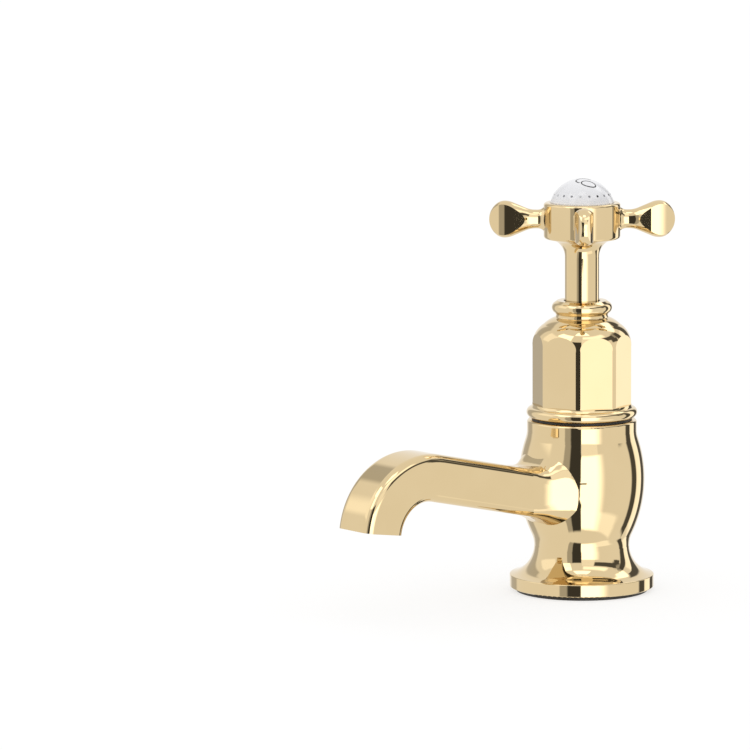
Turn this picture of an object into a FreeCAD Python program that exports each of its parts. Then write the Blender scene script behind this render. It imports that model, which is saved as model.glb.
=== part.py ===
import FreeCAD, Part
import math
import os
import types

import Sketcher

# Basin pillar tap with a cross handle, in millimetres and degrees.
# The tap stands on a deck whose upper face is z = 0. The handle turns about Z and the spout
# points along -Y. Everything under z = 0 is the threaded tail and the pieces that clamp it.
# Threads are drawn as plain cylinders at their major radius.

# Each row: name in the sheet, value, what it measures.
DIMENSIONS = [
    # body, outside
    ("flange_radius", 25.0, "foot flange of the body"),
    ("flange_underside", 1.3, "height of the flange's lower face"),
    ("flange_round", 0.4, "rounding of the flange's edges"),
    ("cove_radius", 10.3, "hollow sweep from the flange up to the waist"),
    ("waist_radius", 16.5, "narrowest part above the flange"),
    ("waist_height", 15.85, "height of the waist"),
    ("waist_blend", 9.0, "hollow blend from the waist up to the belly"),
    ("belly_radius", 21.75, "widest part of the body"),
    ("belly_height", 39.07, "height of the widest part"),
    ("rim_blend", 8.0, "hollow blend from belly to rim"),
    ("rim_radius", 19.0, "upper rim of the body"),
    ("rim_top", 59.85, "top face of the body"),
    ("rim_round", 1.0, "rounding of the rim's outer edge"),
    # body, inside
    ("tail_radius", 10.4775, "G1/2 thread"),
    ("tail_length", 46.0, "threaded tail below the deck"),
    ("tail_chamfer", 1.2, "lead-in of the tail's thread"),
    ("tail_relief_top", -27.0, "upper end of the relief between nut and supply pipe"),
    ("tail_relief_bottom", -28.5, "lower end of that relief"),
    ("tail_relief_depth", 0.6, "depth of that relief"),
    ("inlet_radius", 6.5, "water bore of the tail"),
    ("seat_height", 26.25, "seat of the valve's lower seal"),
    ("seat_bore", 9.4, "bore that centres the headgear's sleeve"),
    ("seat_bore_top", 29.28, "upper end of that bore"),
    ("chamber_radius", 13.0, "water chamber round the sleeve"),
    ("chamber_bottom", 31.3, "lower end of the chamber's wall"),
    ("chamber_top", 42.91, "upper end of the chamber's wall"),
    ("socket_bottom", 45.43, "lower end of the thread for the headgear"),
    ("socket_radius", 10.55, "internal thread for the headgear"),
    ("recess_floor", 56.03, "floor of the recess under the rim"),
    ("recess_radius", 15.2, "recess round the headgear's hexagon"),
    # spout
    ("spout_slope", 12.6, "rise of the spout"),
    ("spout_root_height", 31.18, "height of the spout's centre line on the tap's axis"),
    ("spout_bend_start", 69.9, "reach where the bend begins"),
    ("spout_bend_radius", 19.5, "bend of the centre line"),
    ("spout_bend_angle", 94.2, "turn of the bend"),
    ("spout_tip_run", 0.3, "straight end after the bend"),
    ("spout_width", 17.8, "width of the spout"),
    ("spout_depth", 16.18, "depth of the spout's section"),
    ("spout_corner", 3.45, "rounded corners of the section"),
    ("flare_1_reach", 30.5, "reach of the flare's first section, inside the spout"),
    ("flare_1_width", 17.5, "its width"),
    ("flare_1_depth", 16.2, "its upright depth"),
    ("flare_1_rise", 0.0, "its middle over the spout's centre line"),
    ("flare_1_corner", 3.45, "its corners"),
    ("flare_2_reach", 26.5, "reach of the second section"),
    ("flare_2_width", 19.0, "its width"),
    ("flare_2_depth", 17.0, "its upright depth"),
    ("flare_2_rise", 0.1, "its middle over the spout's centre line"),
    ("flare_2_corner", 4.3, "its corners"),
    ("flare_3_reach", 23.0, "reach of the third section"),
    ("flare_3_width", 21.6, "its width"),
    ("flare_3_depth", 18.9, "its upright depth"),
    ("flare_3_rise", 0.6, "its middle over the spout's centre line"),
    ("flare_3_corner", 6.2, "its corners"),
    ("flare_4_reach", 20.0, "reach of the fourth section"),
    ("flare_4_width", 25.0, "its width"),
    ("flare_4_depth", 23.0, "its upright depth"),
    ("flare_4_rise", 1.6, "its middle over the spout's centre line"),
    ("flare_4_corner", 9.0, "its corners"),
    ("flare_5_reach", 15.0, "reach of the last section, inside the belly"),
    ("flare_5_width", 31.6, "its width"),
    ("flare_5_depth", 27.0, "its upright depth"),
    ("flare_5_rise", 2.2, "its middle over the spout's centre line"),
    ("flare_5_corner", 13.0, "its corners"),
    ("waterway_radius", 5.2, "round bore of the spout"),
    ("waterway_start", 6.0, "reach where the spout's bore begins, in the chamber"),
    ("waterway_overrun", 3.0, "length that the bore's cutter passes the outlet"),
    # foot seal and deck fixings
    ("seal_radius", 22.8, "foot seal under the flange"),
    ("deck_thickness", 12.0, "room for the basin's deck"),
    ("fixing_bore", 10.9, "hole of the foot seal and of both washers"),
    ("gasket_radius", 19.0, "rubber washer under the deck"),
    ("gasket_thickness", 2.0, "thickness of the rubber washer"),
    ("clamp_radius", 17.0, "brass washer under the rubber one"),
    ("clamp_thickness", 1.5, "thickness of the brass washer"),
    ("nut_flats", 27.0, "back nut across its flats"),
    ("nut_height", 8.0, "back nut's hexagon"),
    ("nut_flange_radius", 16.0, "back nut's flange"),
    ("nut_flange_height", 2.0, "thickness of that flange"),
    ("nut_bore", 10.55, "back nut's thread"),
    # headgear: the brass housing of the valve
    ("sleeve_radius", 9.25, "lower sleeve of the headgear"),
    ("sleeve_bore", 8.1, "bore that holds the discs"),
    ("sleeve_bottom", 26.86, "lower end of the sleeve"),
    ("sleeve_bore_top", 45.63, "upper end of the discs' bore"),
    ("window_bottom", 36.55, "lower edge of the sleeve's windows"),
    ("window_height", 6.0, "height of the windows"),
    ("window_width", 9.0, "width of the windows"),
    ("headgear_thread_bottom", 45.73, "lower end of the headgear's thread"),
    ("headgear_thread_top", 55.73, "upper end of the headgear's thread"),
    ("headgear_undercut", 9.6, "relief between thread and hexagon"),
    ("hexagon_bottom", 57.04, "underside of the headgear's hexagon"),
    ("hexagon_top", 63.6, "top of the hexagon"),
    ("hexagon_flats", 24.0, "hexagon across its flats"),
    ("neck_radius", 8.6, "neck of the headgear"),
    ("neck_top", 84.81, "upper end of the neck"),
    ("bonnet_thread_radius", 7.4, "thread that holds the bonnet"),
    ("headgear_top", 94.4, "top of the headgear"),
    ("spindle_bore", 4.45, "headgear's bore for the spindle"),
    ("fibre_radius", 14.4, "fibre washer under the hexagon"),
    ("fibre_bore", 10.7, "hole of the fibre washer"),
    ("disc_key_width", 2.6, "keys that stop the fixed disc turning"),
    ("disc_key_reach", 7.2, "keys' distance from the axis"),
    ("disc_key_bottom", 29.48, "lower end of the keys"),
    ("disc_key_height", 2.6, "height of the keys"),
    ("stop_spread", 19.0, "width of each turning stop"),
    ("stop_reach", 5.4, "stops' distance from the axis"),
    ("stop_bottom", 36.14, "lower end of the stops"),
    ("stop_height", 2.2, "height of the stops"),
    ("stop_direction", 135.0, "direction of the first stop from the closed carrier"),
    # ceramic discs and their seal
    ("disc_seal_bore", 6.3, "opening of the rubber seal under the discs"),
    ("disc_seal_radius", 8.05, "outside of that seal"),
    ("disc_radius", 7.95, "ceramic discs"),
    ("fixed_disc_bottom", 29.18, "lower face of the fixed disc"),
    ("disc_thickness", 3.2, "thickness of each disc"),
    ("disc_gap", 0.05, "film of water and grease between lapped faces"),
    ("port_inner", 2.2, "inner edge of the discs' ports"),
    ("port_outer", 6.1, "outer edge of the discs' ports"),
    ("fixed_port_spread", 76.0, "angle of the fixed disc's ports"),
    ("moving_port_spread", 88.0, "angle of the moving disc's ports"),
    ("key_notch_width", 2.8, "notches for the keys"),
    ("key_notch_reach", 7.0, "notches' distance from the axis"),
    ("dog_width", 2.8, "dogs that turn the moving disc"),
    ("dog_depth", 1.2, "depth of the dogs"),
    ("dog_inner", 4.4, "inner end of the dogs"),
    ("dog_outer", 7.0, "outer end of the dogs"),
    ("dog_play", 0.1, "play round the dogs"),
    # spindle
    ("spindle_radius", 4.4, "spindle in the headgear's bore"),
    ("carrier_radius", 7.7, "carrier over the moving disc"),
    ("carrier_height", 2.8, "thickness of the carrier"),
    ("carrier_spread", 70.0, "angle of each half of the carrier"),
    ("collar_radius", 6.6, "collar under the thrust washer"),
    ("collar_bottom", 43.01, "lower face of the collar"),
    ("collar_top", 44.62, "upper face of the collar"),
    ("thrust_bore", 4.5, "hole of the thrust washer"),
    ("thrust_bottom", 44.67, "lower face of the thrust washer"),
    ("thrust_top", 45.58, "upper face of the thrust washer"),
    ("groove_low", 58.56, "lower ring groove of the spindle"),
    ("groove_spacing", 5.0, "distance between the ring grooves"),
    ("groove_width", 1.7, "width of a ring groove"),
    ("groove_radius", 3.3, "bottom of a ring groove"),
    ("ring_wire", 0.55, "section radius of the spindle's rubber rings"),
    ("ring_reach", 3.87, "radius of their centre line"),
    ("clip_bottom", 94.5, "lower face of the spring clip"),
    ("clip_thickness", 0.8, "thickness of the clip"),
    ("clip_bore", 3.6, "inside of the clip"),
    ("clip_radius", 6.0, "outside of the clip"),
    ("clip_gap", 3.6, "opening of the clip"),
    ("clip_groove", 3.5, "bottom of the clip's groove"),
    ("clip_play", 0.05, "play of the clip in its groove"),
    ("spline_bottom", 109.04, "lower end of the splines"),
    ("spline_radius", 4.1, "outside of the splines"),
    ("spline_depth", 0.45, "depth of the splines"),
    ("spline_half_width", 0.42, "half of a spline groove's mouth"),
    ("spline_count", 20, "number of splines"),
    ("spline_play", 0.06, "play between spindle and handle"),
    ("spindle_top", 123.07, "top of the spindle"),
    ("screw_hole_radius", 2.05, "threaded hole for the handle's screw"),
    ("screw_hole_depth", 12.0, "depth of that hole"),
    # bonnet
    ("bonnet_bottom", 60.6, "lower face of the bonnet"),
    ("bonnet_bore", 14.2, "inside of the bonnet"),
    ("bead_start", 17.7, "inner edge of the bead's underside"),
    ("bead_radius", 1.84, "rounding of the bead"),
    ("bead_top_radius", 17.7, "where the bead meets the hollow above it"),
    ("bead_top_height", 64.2, "height of that place"),
    ("bead_cove", 2.05, "hollow above the bead"),
    ("bonnet_radius", 17.05, "bonnet's round wall"),
    ("bonnet_wall_bottom", 65.7, "lower end of the upright wall"),
    ("bonnet_wall_top", 85.1, "upper end of the upright wall"),
    ("shoulder_arc", 8.4, "rounding of the shoulder"),
    ("shoulder_radius", 13.25, "where the shoulder flattens"),
    ("shoulder_height", 92.9, "height of that place"),
    ("crown_arc", 11.0, "flatter part of the shoulder"),
    ("throat_radius", 9.15, "throat under the collar"),
    ("throat_bottom", 95.4, "lower end of the throat"),
    ("throat_arc", 1.3, "hollow of the throat"),
    ("collar_start", 9.5, "underside of the collar's bead"),
    ("collar_start_height", 96.95, "height of that underside"),
    ("collar_bead_radius", 2.15, "rounding of the collar"),
    ("collar_end", 9.35, "top of the collar's bead"),
    ("collar_end_height", 100.6, "height where the bead ends"),
    ("bonnet_top", 101.12, "top face of the bonnet"),
    ("collar_face", 8.6, "outer edge of the top face"),
    ("flat_distance", 16.05, "flats of the bonnet, from the axis"),
    ("flat_count", 8, "number of flats"),
    ("flat_bottom", 65.2, "lower end of the flats"),
    ("flat_cutter", 21.0, "outer edge of the tool that cuts the flats"),
    ("ceiling_height", 87.33, "underside of the bonnet's threaded boss"),
    ("ceiling_corner", 3.0, "chamfer of the bonnet's inner corner"),
    ("bonnet_socket_radius", 7.5, "internal thread of the bonnet"),
    ("bush_seat", 94.7, "lower end of the bush's bore"),
    ("bush_bore_radius", 7.25, "bonnet's bore for the bush"),
    ("bush_top", 99.35, "top of the bush"),
    ("bush_radius", 7.2, "outside of the bush"),
    ("bush_bottom", 95.91, "lower face of the bush"),
    ("bush_inside", 5.98, "inside of the bush"),
    ("lip_radius", 6.3, "hole in the bonnet's top"),
    ("bonnet_seal_bore", 15.5, "inside of the seal between body and bonnet"),
    ("bonnet_seal_radius", 17.3, "outside of that seal"),
    # handle
    ("rest_turn", 51.0, "direction of the first arm when the tap is closed"),
    ("skirt_radius", 5.93, "stem of the handle"),
    ("skirt_bottom", 95.91, "lower end of the stem"),
    ("skirt_bore", 4.3, "inside of the stem"),
    ("flare_start", 116.2, "height where the stem begins to flare"),
    ("flare_arc", 6.25, "hollow of the flare"),
    ("hub_radius", 13.24, "hub of the handle"),
    ("hub_bottom", 122.51, "lower face of the hub"),
    ("hub_top", 135.08, "upper face of the hub"),
    ("hub_lower_round", 1.1, "rounding of the hub's lower edge"),
    ("hub_upper_round", 1.0, "rounding of the hub's upper edge"),
    ("web_top", 126.6, "top of the web over the spindle"),
    ("web_hole", 2.3, "screw's hole in the web"),
    ("web_gap", 0.3, "room between the spindle's end and the web"),
    ("seat_gap", 0.05, "room between seated pieces"),
    ("screw_well", 5.2, "well for the screw's head"),
    ("cup_floor", 130.74, "floor of the cup for the index"),
    ("cup_radius", 10.0, "cup that holds the index plug"),
    ("ledge_height", 133.97, "ledge under the porcelain"),
    ("ledge_radius", 11.1, "ledge round the porcelain"),
    ("arm_height", 129.33, "height of the arms' centre lines"),
    ("arm_root_radius", 4.98, "root of an arm, inside the hub"),
    ("arm_root_end", 12.75, "where the root's hollow begins"),
    ("arm_root_arc", 2.6, "hollow of the root"),
    ("arm_neck_start", 15.2, "where the hollow runs into the neck"),
    ("arm_neck_radius", 3.25, "neck of an arm"),
    ("arm_swell_start", 16.0, "where the neck begins to swell"),
    ("arm_swell_arc", 8.5, "hollow of the swell"),
    ("arm_flank_start", 19.4, "where the swell runs straight"),
    ("arm_flank_radius", 3.96, "radius at that place"),
    ("arm_flank_end", 23.6, "where the paddle begins to round"),
    ("arm_flank_end_radius", 5.75, "radius at that place"),
    ("paddle_back_arc", 7.36, "rounding on the inner side of the paddle"),
    ("paddle_top_reach", 26.48, "widest place of the paddle"),
    ("paddle_radius", 6.4, "half height of the paddle"),
    ("paddle_shoulder_arc", 4.55, "rounding beyond the widest place"),
    ("paddle_tip_arc", 6.75, "rounding of the tip"),
    ("arm_tip", 31.99, "tip of the arms"),
    ("arm_squash", 0.8, "width of the arm's oval section over its height"),
    ("arm_thickness", 6.6, "paddle between its flat faces"),
    ("face_bend_start", 23.0, "reach where the paddle's faces begin to curve"),
    ("face_bend", 17.4, "curve of the paddle's faces towards the tip"),
    ("slab_margin", 0.5, "length that the flattening slab passes the arm"),
    # handle's screw and index
    ("screw_shank", 1.98, "M4 screw"),
    ("screw_bottom", 113.58, "lower end of the screw"),
    ("screw_washer_radius", 4.6, "washer under the screw's head"),
    ("screw_washer_top", 127.41, "top of that washer"),
    ("screw_head_radius", 3.6, "head of the screw"),
    ("screw_head_top", 129.94, "top of the head"),
    ("screw_slot_width", 1.1, "slots of the cross recess"),
    ("screw_slot_length", 4.6, "length of the slots"),
    ("screw_slot_depth", 1.6, "depth of the slots"),
    ("plug_radius", 9.9, "plug under the porcelain"),
    ("plug_bottom", 130.84, "lower face of the plug"),
    ("plug_hollow", 6.0, "hollow of the plug over the screw's head"),
    ("plug_ceiling", 132.66, "ceiling of that hollow"),
    ("plug_groove_radius", 9.0, "bottom of the plug's ring groove"),
    ("plug_groove_bottom", 131.55, "lower edge of that groove"),
    ("plug_groove_top", 132.96, "upper edge of that groove"),
    ("plug_ring_wire", 0.48, "section radius of the plug's rubber ring"),
    ("plug_ring_reach", 9.5, "radius of that ring's centre line"),
    ("plug_ring_height", 132.26, "height of that ring"),
    ("index_radius", 11.0, "porcelain index"),
    ("index_edge_height", 135.39, "top of its upright edge"),
    ("index_top", 143.36, "top of its dome"),
]

# Pieces of the valve and the handle are built closed along X and turned to the rest place.
TURNED_TO_REST = (
    "headgear_housing", "fixed_disc", "moving_disc", "spindle", "spindle_clip", "handle",
    "handle_screw",
)


class Size:
    """A length that holds its number and the sheet formula that drives it."""

    def __init__(self, value, text):
        self.value = float(value)
        self.text = text

    def __add__(self, other):
        other = size(other)
        return Size(self.value + other.value, f"({self.text} + {other.text})")

    def __sub__(self, other):
        other = size(other)
        return Size(self.value - other.value, f"({self.text} - {other.text})")

    def __mul__(self, other):
        other = size(other)
        return Size(self.value * other.value, f"({self.text} * {other.text})")

    def __truediv__(self, other):
        other = size(other)
        return Size(self.value / other.value, f"({self.text} / {other.text})")

    def __neg__(self):
        return Size(-self.value, f"(0 - {self.text})")


def size(value):
    if isinstance(value, Size):
        return value
    return Size(value, repr(float(value)))


def root(length):
    return Size(math.sqrt(length.value), f"sqrt({length.text})")


def sine(angle):
    return Size(math.sin(math.radians(angle.value)), f"sin({angle.text})")


def cosine(angle):
    return Size(math.cos(math.radians(angle.value)), f"cos({angle.text})")


def slope_of(angle):
    return Size(math.tan(math.radians(angle.value)), f"tan({angle.text})")


def make_sheet(doc):
    """Write the driving dimensions and return them as sizes."""
    sheet = doc.addObject("Spreadsheet::Sheet", "sizes")
    named = {}
    for row, (alias, value, meaning) in enumerate(DIMENSIONS, start=1):
        sheet.set(f"A{row}", meaning)
        sheet.set(f"B{row}", str(value))
        sheet.setAlias(f"B{row}", alias)
        named[alias] = Size(value, f"sizes.{alias}")
    doc.recompute()
    return types.SimpleNamespace(**named)


# ---- sketches ----------------------------------------------------------------------------


def new_body(doc, label):
    body = doc.addObject("PartDesign::Body", label)
    body.Label = label
    return body


def origin_of(body):
    return {item.Role: item for item in body.Origin.OriginFeatures}


def new_sketch(body, name, plane, lift=None):
    """Attach a sketch to one of the body's own origin planes, lifted along its normal."""
    sketch = body.newObject("Sketcher::SketchObject", name)
    sketch.AttachmentSupport = [(origin_of(body)[plane], "")]
    sketch.MapMode = "FlatFace"
    if lift is not None:
        sketch.setExpression("AttachmentOffset.Base.z", size(lift).text)
    return sketch


def drive(sketch, constraint, length):
    """Add a constraint whose value follows the sheet."""
    index = sketch.addConstraint(constraint)
    sketch.setExpression(f"Constraints[{index}]", length.text)


def place_point(sketch, geometry, position, x, y):
    """Fix one point of a sketch at two driven distances from its origin."""
    for kind, length in (("DistanceX", size(x)), ("DistanceY", size(y))):
        constraint = Sketcher.Constraint(kind, -1, 1, geometry, position, length.value)
        drive(sketch, constraint, length)


def drive_radius(sketch, geometry, radius):
    drive(sketch, Sketcher.Constraint("Radius", geometry, radius.value), radius)


def arc_between(start, end, radius, centre_on_left):
    """Arc of under half a circle between two points, always drawn anticlockwise."""
    if not centre_on_left:
        start, end = end, start
    chord = end - start
    left = FreeCAD.Vector(-chord.y, chord.x, 0).normalize()
    reach = math.sqrt(max(radius ** 2 - (chord.Length / 2) ** 2, 0.0))
    centre = (start + end) * 0.5 + left * reach
    return Part.Arc(start, centre - left * radius, end)


def near_end(edge, corner):
    """1 or 2: which end of a sketched edge lies at the corner."""
    if edge.StartPoint.distanceToPoint(corner) < edge.EndPoint.distanceToPoint(corner):
        return 1
    return 2


def draw_outline(sketch, points, closed=True):
    """Draw lines and arcs through points and drive every one of them from the sheet.

    A point is (x, y), or (x, y, radius, side) when an arc leaves it: side is "left" or
    "right", where the arc's centre lies on the way to the next point.
    """
    corners = [FreeCAD.Vector(size(p[0]).value, size(p[1]).value, 0) for p in points]
    spans = len(points) if closed else len(points) - 1
    edges = []
    for i in range(spans):
        start = corners[i]
        end = corners[(i + 1) % len(points)]
        if len(points[i]) == 2:
            edges.append(sketch.addGeometry(Part.LineSegment(start, end)))
        else:
            radius = size(points[i][2]).value
            arc = arc_between(start, end, radius, points[i][3] == "left")
            edges.append(sketch.addGeometry(arc))
    ends = [near_end(sketch.Geometry[edges[i]], corners[i]) for i in range(spans)]
    for i in range(spans):
        place_point(sketch, edges[i], ends[i], points[i][0], points[i][1])
    for i in range(spans if closed else spans - 1):
        after = (i + 1) % spans
        joint = Sketcher.Constraint("Coincident", edges[i], 3 - ends[i], edges[after], ends[after])
        sketch.addConstraint(joint)
    if not closed:
        place_point(sketch, edges[-1], 3 - ends[-1], points[-1][0], points[-1][1])
    for i in range(spans):
        if len(points[i]) == 4:
            drive_radius(sketch, edges[i], size(points[i][2]))


def draw_circle(sketch, x, y, radius):
    centre = FreeCAD.Vector(size(x).value, size(y).value, 0)
    normal = FreeCAD.Vector(0, 0, 1)
    index = sketch.addGeometry(Part.Circle(centre, normal, radius.value))
    place_point(sketch, index, 3, x, y)
    drive_radius(sketch, index, radius)


def ring(bore, radius, bottom, top):
    """Outline of a plain ring."""
    return [(bore, bottom), (radius, bottom), (radius, top), (bore, top)]


def box(left, right, low, high):
    """Outline of a rectangle."""
    return [(left, low), (right, low), (right, high), (left, high)]


def sector(inner, outer, middle, spread):
    """Outline of a part of a ring round the origin."""
    first = middle - spread / 2
    last = middle + spread / 2
    return [
        (inner * cosine(first), inner * sine(first)),
        (outer * cosine(first), outer * sine(first), outer, "left"),
        (outer * cosine(last), outer * sine(last)),
        (inner * cosine(last), inner * sine(last), inner, "right"),
    ]


def polygon(apothem, sides, first_corner=0.0):
    """Corners of a regular polygon from the distance of its flats."""
    step = 360.0 / sides
    corner = apothem / cosine(size(step / 2))
    turns = [size(first_corner + step * i) for i in range(sides)]
    return [(corner * cosine(turn), corner * sine(turn)) for turn in turns]


# ---- features ----------------------------------------------------------------------------


def revolve(body, name, points, cut=False):
    """Turn an outline in the XZ plane about Z, as material or as a groove."""
    sketch = new_sketch(body, f"{name}_outline", "XZ_Plane")
    draw_outline(sketch, points)
    feature = body.newObject("PartDesign::Groove" if cut else "PartDesign::Revolution", name)
    feature.Profile = (sketch, [""])
    feature.ReferenceAxis = (sketch, ["V_Axis"])
    feature.Angle = 360.0
    return feature


def extrude(body, name, outlines, bottom, height, cut=False):
    """Pad or pocket outlines in a level plane, from bottom upwards by height."""
    sketch = new_sketch(body, f"{name}_outline", "XY_Plane", bottom)
    for points in outlines:
        if isinstance(points, Size):
            draw_circle(sketch, 0, 0, points)
        else:
            draw_outline(sketch, points)
    feature = body.newObject("PartDesign::Pocket" if cut else "PartDesign::Pad", name)
    feature.Profile = (sketch, [""])
    height = size(height)
    feature.Length = height.value
    feature.setExpression("Length", height.text)
    feature.Reversed = cut
    return feature


def repeat(body, name, features, count):
    """Repeat features round Z."""
    pattern = body.newObject("PartDesign::PolarPattern", name)
    pattern.Originals = features
    pattern.Axis = (origin_of(body)["Z_Axis"], [""])
    pattern.Angle = 360.0
    pattern.Occurrences = int(count.value)
    pattern.setExpression("Occurrences", count.text)
    body.Tip = pattern
    return pattern


def circle_edges(feature, radius, height):
    """Names of a feature's edges that are circles about Z at a height."""
    names = []
    for number, edge in enumerate(feature.Shape.Edges, start=1):
        curve = edge.Curve
        if not isinstance(curve, Part.Circle):
            continue
        near_axis = math.hypot(curve.Center.x, curve.Center.y) < 0.01
        if near_axis and abs(curve.Radius - size(radius).value) < 0.01:
            if abs(curve.Center.z - size(height).value) < 0.01:
                names.append(f"Edge{number}")
    return names


def round_edges(body, name, feature, edges, radius):
    fillet = body.newObject("PartDesign::Fillet", name)
    fillet.Base = (feature, edges)
    fillet.Radius = radius.value
    fillet.setExpression("Radius", radius.text)
    return fillet


def torus_piece(doc, label, rings):
    """Rubber rings: (height, reach of the centre line, section radius) for each."""
    tori = []
    for number, (height, reach, wire) in enumerate(rings, start=1):
        torus = doc.addObject("Part::Torus", f"{label}_{number}")
        torus.setExpression("Radius1", reach.text)
        torus.setExpression("Radius2", wire.text)
        torus.setExpression("Placement.Base.z", height.text)
        tori.append(torus)
    if len(tori) == 1:
        tori[0].Label = label
        return tori[0]
    group = doc.addObject("Part::Compound", label)
    group.Links = tori
    group.Label = label
    return group


# ---- body --------------------------------------------------------------------------------


def body_outline(d):
    """Outside of the body from the tail's end to the rim."""
    cove_x = d.waist_radius + d.cove_radius
    overhang = cove_x - d.flange_radius
    flange_top = d.waist_height - root(d.cove_radius * d.cove_radius - overhang * overhang)
    # The belly's arc touches the blend from the waist, which gives its radius.
    blend_x = d.waist_radius + d.waist_blend
    shift = blend_x - d.belly_radius
    climb = d.belly_height - d.waist_height
    belly_arc = (shift * shift + climb * climb - d.waist_blend * d.waist_blend) \
        / ((d.waist_blend - shift) * 2)
    belly_x = d.belly_radius - belly_arc
    reach = d.waist_blend + belly_arc
    lower_touch_x = blend_x - (blend_x - belly_x) * d.waist_blend / reach
    lower_touch_z = d.waist_height + climb * d.waist_blend / reach
    # The upper blend touches the belly's arc and runs into the upright rim.
    upper_x = d.rim_radius + d.rim_blend
    span = belly_arc + d.rim_blend
    across = upper_x - belly_x
    rise = root(span * span - across * across)
    upper_touch_x = upper_x - across * d.rim_blend / span
    upper_touch_z = d.belly_height + rise - rise * d.rim_blend / span
    return [
        (0, -d.tail_length),
        (d.tail_radius - d.tail_chamfer, -d.tail_length),
        (d.tail_radius, d.tail_chamfer - d.tail_length),
        (d.tail_radius, d.tail_relief_bottom),
        (d.tail_radius - d.tail_relief_depth, d.tail_relief_bottom),
        (d.tail_radius - d.tail_relief_depth, d.tail_relief_top),
        (d.tail_radius, d.tail_relief_top),
        (d.tail_radius, d.flange_underside),
        (d.flange_radius, d.flange_underside),
        (d.flange_radius, flange_top, d.cove_radius, "right"),
        (d.waist_radius, d.waist_height, d.waist_blend, "right"),
        (lower_touch_x, lower_touch_z, belly_arc, "left"),
        (upper_touch_x, upper_touch_z, d.rim_blend, "right"),
        (d.rim_radius, d.belly_height + rise),
        (d.rim_radius, d.rim_top),
        (0, d.rim_top),
    ], flange_top


def cavity_outline(d):
    """Water bore, seat, chamber, thread and recess, from below the tail to above the rim."""
    past_tail = -d.tail_length - 1
    past_rim = d.rim_top + 1
    return [
        (0, past_tail),
        (d.inlet_radius, past_tail),
        (d.inlet_radius, d.seat_height),
        (d.seat_bore, d.seat_height),
        (d.seat_bore, d.seat_bore_top),
        (d.chamber_radius, d.chamber_bottom),
        (d.chamber_radius, d.chamber_top),
        (d.socket_radius, d.socket_bottom),
        (d.socket_radius, d.recess_floor),
        (d.recess_radius, d.recess_floor),
        (d.recess_radius, past_rim),
        (0, past_rim),
    ]


def spout_path(d, start, overrun):
    """Centre line of the spout in the YZ plane: a rising run, a bend and a short end."""
    start = size(start)
    bend_z = d.spout_root_height + d.spout_bend_start * slope_of(d.spout_slope)
    centre_s = d.spout_bend_start + d.spout_bend_radius * sine(d.spout_slope)
    centre_z = bend_z - d.spout_bend_radius * cosine(d.spout_slope)
    down = d.spout_bend_angle - d.spout_slope
    end_s = centre_s + d.spout_bend_radius * sine(down)
    end_z = centre_z + d.spout_bend_radius * cosine(down)
    run = d.spout_tip_run + overrun
    return [
        (-start, d.spout_root_height + start * slope_of(d.spout_slope)),
        (-d.spout_bend_start, bend_z, d.spout_bend_radius, "left"),
        (-end_s, end_z),
        (-(end_s + run * cosine(down)), end_z - run * sine(down)),
    ]


def sweep(body, name, path_points, draw_section, d, cut=False):
    """Sweep a section along the spout's centre line."""
    path = new_sketch(body, f"{name}_path", "YZ_Plane")
    draw_outline(path, path_points, closed=False)
    section = new_sketch(body, f"{name}_section", "XZ_Plane")
    start_y, start_z = size(path_points[0][0]), size(path_points[0][1])
    tilt = FreeCAD.Rotation(FreeCAD.Vector(-1, 0, 0), d.spout_slope.value)
    section.AttachmentOffset = FreeCAD.Placement(FreeCAD.Vector(0, 0, 0), tilt)
    section.setExpression("AttachmentOffset.Base.y", start_z.text)
    section.setExpression("AttachmentOffset.Base.z", (-start_y).text)
    section.setExpression("AttachmentOffset.Rotation.Angle", d.spout_slope.text)
    draw_section(section)
    kind = "PartDesign::SubtractivePipe" if cut else "PartDesign::AdditivePipe"
    feature = body.newObject(kind, name)
    feature.Profile = (section, [""])
    feature.Spine = (path, [f"Edge{i}" for i in range(1, len(path_points))])
    return feature


def rounded_box(width, depth, corner, middle):
    """Rounded rectangle with its middle at a height."""
    half_width = width / 2
    inner_x = half_width - corner
    low = middle - depth / 2
    high = middle + depth / 2
    return [
        (-inner_x, low),
        (inner_x, low, corner, "left"),
        (half_width, low + corner),
        (half_width, high - corner, corner, "left"),
        (inner_x, high),
        (-inner_x, high, corner, "left"),
        (-half_width, high - corner),
        (-half_width, low + corner, corner, "left"),
    ]


def spout_section(d):
    """Rounded rectangle of the spout."""
    return rounded_box(d.spout_width, d.spout_depth, d.spout_corner, size(0))


def add_flare(body, d):
    """Bell-shaped root that spreads the spout into the belly."""
    rows = [
        (d.flare_1_reach, d.flare_1_rise, d.flare_1_width, d.flare_1_depth, d.flare_1_corner),
        (d.flare_2_reach, d.flare_2_rise, d.flare_2_width, d.flare_2_depth, d.flare_2_corner),
        (d.flare_3_reach, d.flare_3_rise, d.flare_3_width, d.flare_3_depth, d.flare_3_corner),
        (d.flare_4_reach, d.flare_4_rise, d.flare_4_width, d.flare_4_depth, d.flare_4_corner),
        (d.flare_5_reach, d.flare_5_rise, d.flare_5_width, d.flare_5_depth, d.flare_5_corner),
    ]
    sketches = []
    for number, (reach, rise, width, depth, corner) in enumerate(rows, start=1):
        middle = d.spout_root_height + reach * slope_of(d.spout_slope) + rise
        sketch = new_sketch(body, f"flare_section_{number}", "XZ_Plane", reach)
        draw_outline(sketch, rounded_box(width, depth, corner, middle))
        sketches.append(sketch)
    flare = body.newObject("PartDesign::AdditiveLoft", "flare")
    flare.Profile = (sketches[0], [""])
    flare.Sections = sketches[1:]
    return flare


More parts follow.
